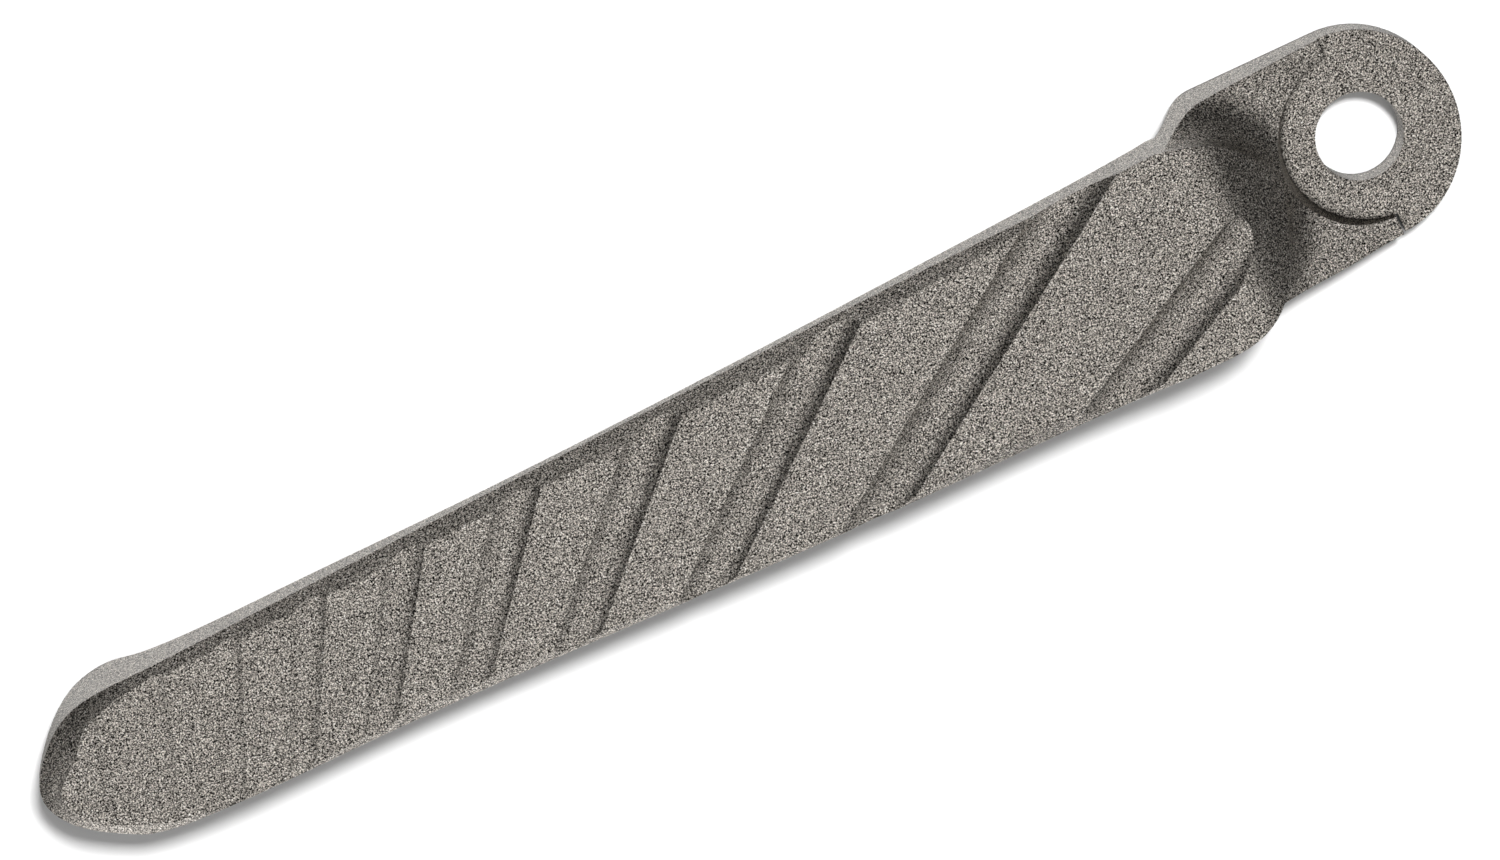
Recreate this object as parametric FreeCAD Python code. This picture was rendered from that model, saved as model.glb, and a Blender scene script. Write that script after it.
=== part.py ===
import FreeCAD, Part

import math
import os

# Fluted clip lever: a stiff tapered arm with a sculpted grip face, a stepped foot and a screw eye.
# Millimetres. The origin is the screw hole's axis on the mounting plane, +X points to the eye's
# rounded end, +Z comes out of the fluted face, and the tip of the arm is at -X.

Vec = FreeCAD.Vector
UP = Vec(0, 0, 1)

# Screw eye
BORE_R = 1.70            # clearance for an M3 screw
EYE_HALF = 4.13          # half the eye's width
EYE_END = 3.87           # how far its rounded end reaches past the hole
EYE_Z = 1.35             # thickness under the screw's head
STEP_X = 0.06            # where the seat's open side starts
STEP_TURN = 0.9          # how far that step leans, degrees
SEAT_R = 3.35            # recess that takes the screw's head
SEAT_X = 0.33            # the recess's centre
SEAT_DRAFT = 0.25        # how much the recess widens for each millimetre above the seat
SHOULDER_Z = 1.60        # thickness of the two shoulders beside the seat
LEDGE_Z = 1.49           # narrow ledge on the upper shoulder's inner edge
LEDGE_X = 0.42
LEDGE_Y = 0.18

# Grip face: a plane that falls slowly from the neck to the tip
FACE_X = -8.0
FACE_Z = 5.0
FACE_SLOPE = 0.6 / 44.0

# Nose: the rounded end of the raised grip, towards the eye
NOSE_R = 3.60
NOSE_CENTRE_X = -7.55
NOSE_CENTRE_Y = 0.05
NOSE_TURN = 15.0         # where the upper arc hands over to the flatter lower one, degrees

# Neck
NECK_UPPER_Y = 4.17
NECK_LOWER_Y = -4.24
SHOULDER_X = 0.3         # where the shoulders start to curve up
RAMP_X = -1.5            # crease between the shoulders and the ramp
RAMP_Z = 1.88
RAMP_SLOPE = 0.20
RAMP_END_X = -12.0
FILLET_R = 2.2           # concave fillet between the ramp and the nose
FILLET_X = -7.85         # the fillet ring's centre, where it stands on the ramp
FILLET_Y = -0.10
FILLET_FROM = -75.0      # the fillet's sweep round the nose, degrees
FILLET_SWEEP = 205.0

# Flutes: round grooves whose upper edges fan out from one point, at angles that open slowly
FLUTE_COUNT = 10
FAN_X = -60.2
FAN_Y = -30.3
FAN_FIRST_ANGLE = 14.2
FAN_STEP = 4.66
FAN_OPENING = 0.0773
FLUTE_R = 1.3
FLUTE_SHALLOW = 0.10
FLUTE_DEEP = 0.54
FLUTE_GROWTH = 1.7       # how fast the depth grows towards the neck
FLUTE_ENDS = ((6.0, 1.18), (-6.0, 0.67))     # across the grip: place and share of the depth

BEVEL_DROP = 1.4         # height of the solid that shapes the 45 degree edge bevel
LEFT = -60.0             # places clear outside everything
RIGHT = 8.0
REACH = 9.0
TOP = 9.0


def face_z(x):
    """Height of the grip face above the mounting plane."""
    return FACE_Z + FACE_SLOPE * (x - FACE_X)


def ramp_z(x):
    """Height of the ramp that climbs from the shoulders to the nose."""
    return RAMP_Z + RAMP_SLOPE * (RAMP_X - x)


def xy(x, y):
    return (x, y, 0)


def xz(x, z):
    return (x, 0, z)


def line(a, b):
    return Part.makeLine(Vec(*a), Vec(*b))


def arc(a, b, c):
    return Part.Arc(Vec(*a), Vec(*b), Vec(*c)).toShape()


def smooth(points, start=None, end=None):
    """A smooth edge through the points, with optional end directions."""
    curve = Part.BSplineCurve()
    vectors = [Vec(*p) for p in points]
    if start:
        curve.interpolate(Points=vectors, InitialTangent=Vec(*start), FinalTangent=Vec(*end))
    else:
        curve.interpolate(vectors)
    return curve.toShape()


def ring_wire(points):
    """A closed smooth wire through the points."""
    curve = Part.BSplineCurve()
    curve.interpolate(Points=[Vec(*p) for p in points], PeriodicFlag=True)
    return Part.Wire(curve.toShape())


def polygon(corners):
    return [line(a, b) for a, b in zip(corners, corners[1:] + corners[:1])]


def outline_face(edges):
    return Part.Face(Part.Wire(Part.__sortEdges__(edges)))


def plan_prism(edges, low, high):
    """Upright solid over a closed outline drawn at z = 0."""
    face = outline_face(edges)
    face.translate(Vec(0, 0, low))
    return face.extrude(Vec(0, 0, high - low))


def side_prism(edges):
    """Solid that runs right across the object over a closed outline in the XZ plane."""
    face = outline_face(edges)
    face.translate(Vec(0, -REACH, 0))
    return face.extrude(Vec(0, 2 * REACH, 0))


def cylinder(x, y, radius, low, high):
    return Part.makeCylinder(radius, high - low, Vec(x, y, low), UP)


def nose_point(angle):
    turn = math.radians(angle)
    return xy(NOSE_CENTRE_X + NOSE_R * math.cos(turn), NOSE_CENTRE_Y + NOSE_R * math.sin(turn))


def grip_outline():
    """Plan of the grip: long tapering edges, rounded tip, and the nose towards the eye."""
    nose_top = nose_point(90.0)
    nose_side = nose_point(NOSE_TURN)
    nose_end = xy(-5.42, -3.78)
    heel = xy(-8.2, -4.70)
    tip_top = xy(-51.0, 2.24)
    tip_bottom = xy(-51.0, -3.80)
    tip = [tip_top, xy(-53.2, 1.83), xy(-54.65, 0.75), xy(-55.45, -0.75), xy(-54.3, -2.42),
           xy(-52.9, -3.33), tip_bottom]
    return [
        arc(nose_top, xy(-5.45, 2.76), nose_side),
        arc(nose_side, xy(-4.14, -1.60), nose_end),
        smooth([nose_end, xy(-6.45, -4.40), heel], (-0.8, -0.7, 0), (-1, 0, 0)),
        smooth([heel, xy(-20.0, -4.55), xy(-34.0, -4.15), xy(-42.5, -3.95), tip_bottom]),
        smooth(tip, (-1, -0.06, 0), (1, -0.1, 0)),
        arc(tip_top, xy(-26.0, 3.02), nose_top),
    ]


def side_outline():
    """Side view: flat foot, step up to the thin bowed arm, and the round bump under the tip."""
    heel = xz(-5.0, 0)
    arch = xz(-8.0, 2.60)
    bump = xz(-51.8, 0)
    end = xz(-56.2, 4.0)
    return [
        line(xz(RIGHT, 0), heel),
        smooth([heel, xz(-6.4, 1.30), arch], (-1, 0, 0), (-1, 0, 0.25)),
        smooth([arch, xz(-14.0, 3.12), xz(-26.0, 3.52), xz(-38.0, 3.08), xz(-44.0, 2.38),
                xz(-48.2, 1.85), xz(-50.2, 0.95), bump], (-1, 0, 0.2), (-1, 0, 0)),
        smooth([bump, xz(-53.3, 0.62), xz(-54.8, 2.20), end], (-1, 0, 0), (-0.3, 0, 1)),
        line(end, xz(-56.2, TOP)),
        line(xz(-56.2, TOP), xz(RIGHT, TOP)),
        line(xz(RIGHT, TOP), xz(RIGHT, 0)),
    ]


def widened(points, distance):
    """The plan points of a closed anticlockwise outline, each moved outwards."""
    moved = []
    for index, (x, y) in enumerate(points):
        before = points[index - 1]
        after = points[(index + 1) % len(points)]
        dx = after[0] - before[0]
        dy = after[1] - before[1]
        length = math.hypot(dx, dy)
        moved.append((x + distance * dy / length, y - distance * dx / length))
    return moved


def bevel_waste():
    """What the face plane and the 45 degree bevel round it take off."""
    rim = [(-9.0, 3.85), (-16.0, 2.90), (-26.0, 2.40), (-38.0, 2.07), (-49.0, 1.92),
           (-51.5, 1.75), (-52.8, 1.15), (-53.8, 0.20), (-54.65, -0.70), (-54.6, -1.25),
           (-53.2, -2.60), (-51.0, -3.45), (-43.0, -3.58), (-34.0, -3.83), (-20.0, -4.28),
           (-9.0, -4.95), (-2.0, -6.5), (0.5, 0.0), (-2.0, 6.5)]
    foot = widened(rim, BEVEL_DROP)
    rim_wire = ring_wire([(x, y, face_z(x)) for x, y in rim])
    foot_wire = ring_wire([(x, y, face_z(x) - BEVEL_DROP) for x, y in foot])
    kept = Part.makeLoft([rim_wire, foot_wire], True, True)
    slab = side_prism(polygon([xz(LEFT, face_z(LEFT) - BEVEL_DROP),
                               xz(RIGHT, face_z(RIGHT) - BEVEL_DROP),
                               xz(RIGHT, TOP + 1), xz(LEFT, TOP + 1)]))
    return slab.cut(kept)


def flute_cutter(index):
    """A round cutter along one line of the fan, deeper towards the upper edge."""
    angle = math.radians(FAN_FIRST_ANGLE + FAN_STEP * index + FAN_OPENING * index ** 2)
    growth = (index / (FLUTE_COUNT - 1.0)) ** FLUTE_GROWTH
    depth = FLUTE_SHALLOW + (FLUTE_DEEP - FLUTE_SHALLOW) * growth
    ends = []
    for y, share in FLUTE_ENDS:
        sink = depth * share
        half = math.sqrt(2 * FLUTE_R * sink - sink ** 2)
        x = FAN_X + (y - FAN_Y) * math.tan(angle)
        edge = Vec(x, y, face_z(x))
        shift = Vec(-half * math.cos(angle), half * math.sin(angle), FLUTE_R - sink)
        ends.append(edge + shift)
    run = ends[1] - ends[0]
    return Part.makeCylinder(FLUTE_R, run.Length, ends[0], run)


def scoop_waste():
    """What the smooth scoop from the grip face down to the ramp takes off."""
    start = xz(-6.9, face_z(-6.9))
    foot = xz(-2.4, 2.38)
    return side_prism([
        smooth([start, xz(-6.0, 4.86), xz(-5.0, 4.28), xz(-4.0, 3.42), xz(-3.2, 2.66), foot],
               (1, 0, -0.02), (1, 0, -0.2)),
        line(foot, xz(foot[0], TOP)),
        line(xz(foot[0], TOP), xz(start[0], TOP)),
        line(xz(start[0], TOP), start),
    ])


def neck_prism():
    """Foot and neck in plan, from under the grip to the middle of the eye."""
    upper = xy(-5.0, NECK_UPPER_Y)
    flare = xy(-7.4, 3.47)
    eye_top = xy(0, EYE_HALF)
    eye_bottom = xy(0, -EYE_HALF)
    lower = xy(-2.6, NECK_LOWER_Y)
    inside_lower = xy(-9.5, NECK_LOWER_Y)
    inside_upper = xy(-9.5, 3.40)
    return plan_prism([
        line(inside_upper, flare),
        smooth([flare, xy(-6.45, 3.82), xy(-5.8, 4.06), upper], (1, 0.37, 0), (1, 0, 0)),
        line(upper, eye_top),
        line(eye_top, eye_bottom),
        line(eye_bottom, lower),
        line(lower, inside_lower),
        line(inside_lower, inside_upper),
    ], 0, TOP)


def nose_fillet():
    """The concave fillet between the tilted ramp and the nose."""
    rim = NOSE_R + FILLET_R
    bend = FILLET_R * (1 - math.sqrt(0.5))
    inner = NOSE_R - 0.5
    section = outline_face([
        line(xz(inner, -1.0), xz(rim, -1.0)),
        line(xz(rim, -1.0), xz(rim, 0)),
        arc(xz(rim, 0), xz(NOSE_R + bend, bend), xz(NOSE_R, FILLET_R)),
        line(xz(NOSE_R, FILLET_R), xz(inner, FILLET_R)),
        line(xz(inner, FILLET_R), xz(inner, -1.0)),
    ])
    section.rotate(Vec(0, 0, 0), UP, FILLET_FROM)
    ring = section.revolve(Vec(0, 0, 0), UP, FILLET_SWEEP)
    ring.rotate(Vec(0, 0, 0), Vec(0, 1, 0), math.degrees(math.atan(RAMP_SLOPE)))
    ring.translate(Vec(FILLET_X, FILLET_Y, ramp_z(FILLET_X)))
    return ring


def neck():
    """Neck with its two shoulders, the ramp behind them and the fillet to the nose."""
    shoulder = xz(SHOULDER_X, SHOULDER_Z)
    crease = xz(RAMP_X, RAMP_Z)
    end = xz(RAMP_END_X, ramp_z(RAMP_END_X))
    above_ramp = side_prism([
        line(xz(RIGHT, SHOULDER_Z), shoulder),
        smooth([shoulder, crease], (-1, 0, 0), (-1, 0, 0.34)),
        line(crease, end),
        line(end, xz(RAMP_END_X, TOP + 1)),
        line(xz(RAMP_END_X, TOP + 1), xz(RIGHT, TOP + 1)),
        line(xz(RIGHT, TOP + 1), xz(RIGHT, SHOULDER_Z)),
    ])
    whole = neck_prism()
    return whole.cut(above_ramp).fuse(whole.common(nose_fillet()))


def seat_shape(low, high):
    """The screw seat in plan: the head's recess and the rounded half of the eye."""
    recess = cylinder(SEAT_X, 0, SEAT_R, low, high)
    rim = Part.Ellipse(Vec(0, EYE_HALF, low), Vec(EYE_END, 0, low), Vec(0, 0, low)).toShape()
    round_end = Part.Face(Part.Wire(rim)).extrude(Vec(0, 0, high - low))
    front = Part.makeBox(RIGHT, 2 * REACH, high - low, Vec(STEP_X, -REACH, low))
    front.rotate(Vec(STEP_X, 0, 0), UP, STEP_TURN)
    return recess.fuse(round_end.common(front)).removeSplitter()


def recess_draft():
    """The recess's wall leans out a little above the seat."""
    height = TOP - EYE_Z
    return Part.makeCone(SEAT_R, SEAT_R + SEAT_DRAFT * height, height, Vec(SEAT_X, 0, EYE_Z), UP)


def clip_lever():
    """Grip, neck and foot in one, bevelled, fluted and cut away where the screw eye sits."""
    body = plan_prism(grip_outline(), -1.0, TOP).fuse(neck())
    body = body.cut(bevel_waste())
    body = body.common(side_prism(side_outline()))
    body = body.cut(scoop_waste())
    for index in range(FLUTE_COUNT):
        body = body.cut(flute_cutter(index))
    body = body.cut(cylinder(LEDGE_X, LEDGE_Y, SEAT_R, LEDGE_Z, TOP))
    body = body.cut(seat_shape(-1.0, TOP))
    body = body.cut(recess_draft())
    return body.removeSplitter()


def screw_eye():
    """The eye and its seat, at full thickness, with the screw's hole."""
    return seat_shape(0, EYE_Z).cut(cylinder(0, 0, BORE_R, -1.0, TOP))


def save(name, shape):
    print(name, "solids", len(shape.Solids), "valid", shape.isValid(), "mm3", round(shape.Volume, 1))
    shape.exportStep("parts/" + name + ".step")


os.makedirs("parts", exist_ok=True)
save("clip_lever", clip_lever())
save("screw_eye", screw_eye())
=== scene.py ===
import math

import bpy
from mathutils import Matrix, Vector


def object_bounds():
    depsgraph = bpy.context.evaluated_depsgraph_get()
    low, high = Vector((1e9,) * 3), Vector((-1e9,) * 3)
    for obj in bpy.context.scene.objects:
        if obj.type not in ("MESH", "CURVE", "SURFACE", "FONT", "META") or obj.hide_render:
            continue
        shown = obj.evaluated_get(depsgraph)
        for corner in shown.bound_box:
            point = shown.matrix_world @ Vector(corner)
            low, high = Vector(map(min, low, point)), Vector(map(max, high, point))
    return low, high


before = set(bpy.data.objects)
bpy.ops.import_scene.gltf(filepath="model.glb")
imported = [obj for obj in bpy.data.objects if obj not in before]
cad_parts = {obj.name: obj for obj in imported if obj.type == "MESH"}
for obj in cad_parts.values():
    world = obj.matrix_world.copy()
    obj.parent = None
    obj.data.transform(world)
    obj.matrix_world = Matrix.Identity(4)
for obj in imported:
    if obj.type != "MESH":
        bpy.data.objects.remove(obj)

# A bead-blasted metal clip lever, lying on its foot on a pale floor. Metres, in the CAD frame.

MM = 0.001

# Camera: high over the grip face, tipped towards +Y and rolled so that the tip points down to the left.
CAMERA_TILT = math.radians(13.98)
CAMERA_ROLL = math.radians(25.52)
CAMERA_DISTANCE = 276.9 * MM
CAMERA_LENS = 175.2
CAMERA_SENSOR = 36.0
AIM_STEP = Vector((0.255, -0.17, 0.0)) * MM      # from the middle of the lever's plan to the aim

CAMERA_NEAR = 10 * MM
CAMERA_FAR = 10.0

# Floor
FLOOR_SIZE = 1600 * MM
FLOOR_DROP = 0.02 * MM
FLOOR_COLOUR = (0.92, 0.92, 0.92, 1)
FLOOR_ROUGHNESS = 0.9
FLOOR_SPECULAR = 0.1

# Room light: its strength below and above the horizon, and the heights between which it changes
ROOM_LOW = 0.45
ROOM_HIGH = 0.09
ROOM_SPAN = (-0.5, 0.1)

# Blasted metal
METAL_COLOUR = (0.320, 0.296, 0.267)
METAL_ROUGHNESS = 0.40
ROUGHNESS_SPREAD = 0.08
GRAIN = 0.063 * MM                               # size of one dimple
SPECK = GRAIN * 0.7                              # size of one glint
MOTTLE = 1.4 * MM                                # size of the faint cloudy patches
GRAIN_DEPTH = 0.013 * MM
GRAIN_TURN = (0.6, 0.4, 0.3)                     # keeps the grain's lattice off the object's axes
EDGE_ROUND = 0.06 * MM
EDGE_SAMPLES = 6
CORNER_REACH = 0.50 * MM                         # how far the painted shade in inside corners spreads
CORNER_SAMPLES = 8

# Each pair of spans maps a pattern's value to a factor on the metal's colour.
SHADE_FROM, SHADE_TO = (0.39, 0.66), (0.0, 2.42)       # dimples, dark in their pits
GLINT_FROM, GLINT_TO = (0.37, 0.70), (0.32, 2.00)      # single bright grains
CLOUD_FROM, CLOUD_TO = (0.3, 0.7), (0.95, 1.05)        # cloudy patches
EDGE_HIGHLIGHT_FROM, EDGE_HIGHLIGHT_TO = (0.80, 0.99), (1.6, 1.0)          # painted highlight on the edges, brighter where they round
CORNER_SHADE_FROM, CORNER_SHADE_TO = (0.50, 0.86), (0.08, 1.0)         # painted shade, darker in inside corners
SPECK_SPAN = (0.3, 0.7)

# Soft lights: name, azimuth and elevation in degrees, distance and size in mm, and radiance.
# The cards show only in the metal's reflections, and the floor lights reach only the floor.
CARDS = (
    ("overhead", -132, 75, 260, 360, 0.92),
    ("front_card", -65, 25, 500, 420, 0.45),
    ("neck_card", -15, 50, 300, 160, 0.52),
    ("back_card", 92, 14, 400, 200, 0.55),
    ("high_card", 80, 32, 450, 240, 0.60),
    ("flute_card", -36, 42, 450, 200, 0.50),
    ("rim_card", 66, -6, 400, 130, 1.60),
    ("tip_card", 165, -4, 400, 160, 1.10),
    ("left_card", 205, -6, 400, 200, 1.00),
    ("low_card", -112, -9, 400, 400, 1.15),
    ("under_card", 85, -68, 400, 380, 0.68),
)
FLOOR_LIGHTS = (
    ("shadow_key", 64, 67, 600, 90, 150.0),
    ("fill", -90, 88, 700, 1200, 0.5),
)


def link(tree, source, target):
    tree.links.new(source, target)


def ranged(tree, source, span, new_span):
    """The source value mapped from one span to another, held at its ends."""
    made = tree.nodes.new("ShaderNodeMapRange")
    made.inputs["From Min"].default_value = span[0]
    made.inputs["From Max"].default_value = span[1]
    made.inputs["To Min"].default_value = new_span[0]
    made.inputs["To Max"].default_value = new_span[1]
    link(tree, source, made.inputs["Value"])
    return made.outputs["Result"]


def product(tree, first, second):
    made = tree.nodes.new("ShaderNodeMath")
    made.operation = "MULTIPLY"
    link(tree, first, made.inputs[0])
    link(tree, second, made.inputs[1])
    return made.outputs["Value"]


def noise(tree, place, size, detail, roughness=0.5):
    made = tree.nodes.new("ShaderNodeTexNoise")
    made.inputs["Scale"].default_value = 1.0 / size
    made.inputs["Detail"].default_value = detail
    made.inputs["Roughness"].default_value = roughness
    link(tree, place, made.inputs["Vector"])
    return made


def blasted_metal():
    """Grey metal blasted with fine beads: tiny dimples, dark in their pits, with soft edges."""
    material = bpy.data.materials.new("blasted_metal")
    material.use_nodes = True
    tree = material.node_tree
    tree.nodes.clear()
    turned = tree.nodes.new("ShaderNodeMapping")
    turned.inputs["Rotation"].default_value = GRAIN_TURN
    link(tree, tree.nodes.new("ShaderNodeTexCoord").outputs["Object"], turned.inputs["Vector"])
    place = turned.outputs["Vector"]
    grain = noise(tree, place, GRAIN, 2.0, 0.6)
    speck = noise(tree, place, SPECK, 1.0)
    mottle = noise(tree, place, MOTTLE, 3.0)

    shade = ranged(tree, grain.outputs["Fac"], SHADE_FROM, SHADE_TO)
    glint = ranged(tree, speck.outputs["Fac"], GLINT_FROM, GLINT_TO)
    cloud = ranged(tree, mottle.outputs["Fac"], CLOUD_FROM, CLOUD_TO)
    edge = tree.nodes.new("ShaderNodeBevel")
    edge.samples = EDGE_SAMPLES
    edge.inputs["Radius"].default_value = EDGE_ROUND
    agree = tree.nodes.new("ShaderNodeVectorMath")
    agree.operation = "DOT_PRODUCT"
    link(tree, edge.outputs["Normal"], agree.inputs[0])
    link(tree, tree.nodes.new("ShaderNodeNewGeometry").outputs["Normal"], agree.inputs[1])
    # painted highlight: the metal's colour brightened along rounded edges
    painted_edge_highlight = ranged(tree, agree.outputs["Value"], EDGE_HIGHLIGHT_FROM, EDGE_HIGHLIGHT_TO)
    corner = tree.nodes.new("ShaderNodeAmbientOcclusion")
    corner.samples = CORNER_SAMPLES
    corner.inputs["Distance"].default_value = CORNER_REACH
    # painted shade: the metal's colour darkened in inside corners and creases
    painted_corner_shade = ranged(tree, corner.outputs["AO"], CORNER_SHADE_FROM, CORNER_SHADE_TO)
    strength = product(tree, product(tree, shade, glint), cloud)
    strength = product(tree, strength, product(tree, painted_corner_shade, painted_edge_highlight))
    tint = tree.nodes.new("ShaderNodeVectorMath")
    tint.operation = "SCALE"
    tint.inputs[0].default_value = METAL_COLOUR
    link(tree, strength, tint.inputs["Scale"])

    bump = tree.nodes.new("ShaderNodeBump")
    bump.inputs["Strength"].default_value = 1.0
    bump.inputs["Distance"].default_value = GRAIN_DEPTH
    link(tree, grain.outputs["Fac"], bump.inputs["Height"])
    link(tree, edge.outputs["Normal"], bump.inputs["Normal"])

    shader = tree.nodes.new("ShaderNodeBsdfPrincipled")
    shader.inputs["Metallic"].default_value = 1.0
    link(tree, tint.outputs["Vector"], shader.inputs["Base Color"])
    rough = (METAL_ROUGHNESS - ROUGHNESS_SPREAD, METAL_ROUGHNESS + ROUGHNESS_SPREAD)
    link(tree, ranged(tree, speck.outputs["Fac"], SPECK_SPAN, rough), shader.inputs["Roughness"])
    link(tree, bump.outputs["Normal"], shader.inputs["Normal"])
    out = tree.nodes.new("ShaderNodeOutputMaterial")
    link(tree, shader.outputs["BSDF"], out.inputs["Surface"])
    return material


def floor_material():
    """Plain matt white board."""
    material = bpy.data.materials.new("pale_floor")
    material.use_nodes = True
    shader = material.node_tree.nodes["Principled BSDF"]
    shader.inputs["Base Color"].default_value = FLOOR_COLOUR
    shader.inputs["Roughness"].default_value = FLOOR_ROUGHNESS
    shader.inputs["Specular IOR Level"].default_value = FLOOR_SPECULAR
    return material


def floor():
    """The board under the lever, hidden from mirror reflections."""
    half = FLOOR_SIZE / 2
    mesh = bpy.data.meshes.new("floor")
    mesh.from_pydata([(-half, -half, -FLOOR_DROP), (half, -half, -FLOOR_DROP),
                      (half, half, -FLOOR_DROP), (-half, half, -FLOOR_DROP)], [], [(0, 1, 2, 3)])
    board = bpy.data.objects.new("floor", mesh)
    board.data.materials.append(floor_material())
    board.visible_glossy = False
    bpy.context.scene.collection.objects.link(board)


def camera(aim):
    """Long lens over the grip face."""
    data = bpy.data.cameras.new("camera")
    data.lens = CAMERA_LENS
    data.sensor_width = CAMERA_SENSOR
    data.clip_start = CAMERA_NEAR
    data.clip_end = CAMERA_FAR
    turn = Matrix.Rotation(-CAMERA_TILT, 4, "X") @ Matrix.Rotation(-CAMERA_ROLL, 4, "Z")
    back = turn @ Vector((0, 0, 1))
    eye = bpy.data.objects.new("camera", data)
    eye.matrix_world = Matrix.Translation(aim + back * CAMERA_DISTANCE) @ turn
    bpy.context.scene.collection.objects.link(eye)
    bpy.context.scene.camera = eye


def softbox(name, aim, azimuth, elevation, distance, size, radiance, in_gloss, on_floor):
    """A square soft light that faces the aim, given by its direction, size and brightness."""
    data = bpy.data.lights.new(name, "AREA")
    data.shape = "SQUARE"
    data.size = size
    data.energy = radiance * math.pi * size ** 2
    azimuth = math.radians(azimuth)
    elevation = math.radians(elevation)
    back = Vector((math.cos(azimuth) * math.cos(elevation), math.sin(azimuth) * math.cos(elevation),
                   math.sin(elevation)))
    lamp = bpy.data.objects.new(name, data)
    lamp.matrix_world = (Matrix.Translation(aim + back * distance)
                         @ back.to_track_quat("Z", "Y").to_matrix().to_4x4())
    lamp.visible_camera = False
    lamp.visible_glossy = in_gloss
    lamp.visible_diffuse = on_floor
    bpy.context.scene.collection.objects.link(lamp)


def studio(aim):
    """Cards for the metal to reflect, lights for the floor and its shadow, and a dim room."""
    for lights, for_metal in ((CARDS, True), (FLOOR_LIGHTS, False)):
        for name, azimuth, elevation, distance, size, radiance in lights:
            softbox(name, aim, azimuth, elevation, distance * MM, size * MM, radiance,
                    for_metal, not for_metal)
    world = bpy.data.worlds.new("room")
    world.use_nodes = True
    tree = world.node_tree
    height = tree.nodes.new("ShaderNodeSeparateXYZ")
    link(tree, tree.nodes.new("ShaderNodeTexCoord").outputs["Generated"], height.inputs["Vector"])
    link(tree, ranged(tree, height.outputs["Z"], ROOM_SPAN, (ROOM_LOW, ROOM_HIGH)),
         tree.nodes["Background"].inputs["Strength"])
    tree.nodes["Background"].inputs["Color"].default_value = (1, 1, 1, 1)
    bpy.context.scene.world = world
    bpy.context.scene.view_settings.view_transform = "Standard"


cad_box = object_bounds()
metal = blasted_metal()
for name in ("clip_lever", "screw_eye"):
    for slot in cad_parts[name].material_slots:
        slot.material = metal

low = Vector(cad_box[0])
high = Vector(cad_box[1])
middle = Vector(((low.x + high.x) / 2, (low.y + high.y) / 2, 0.0))
floor()
camera(middle + AIM_STEP)
studio(middle)
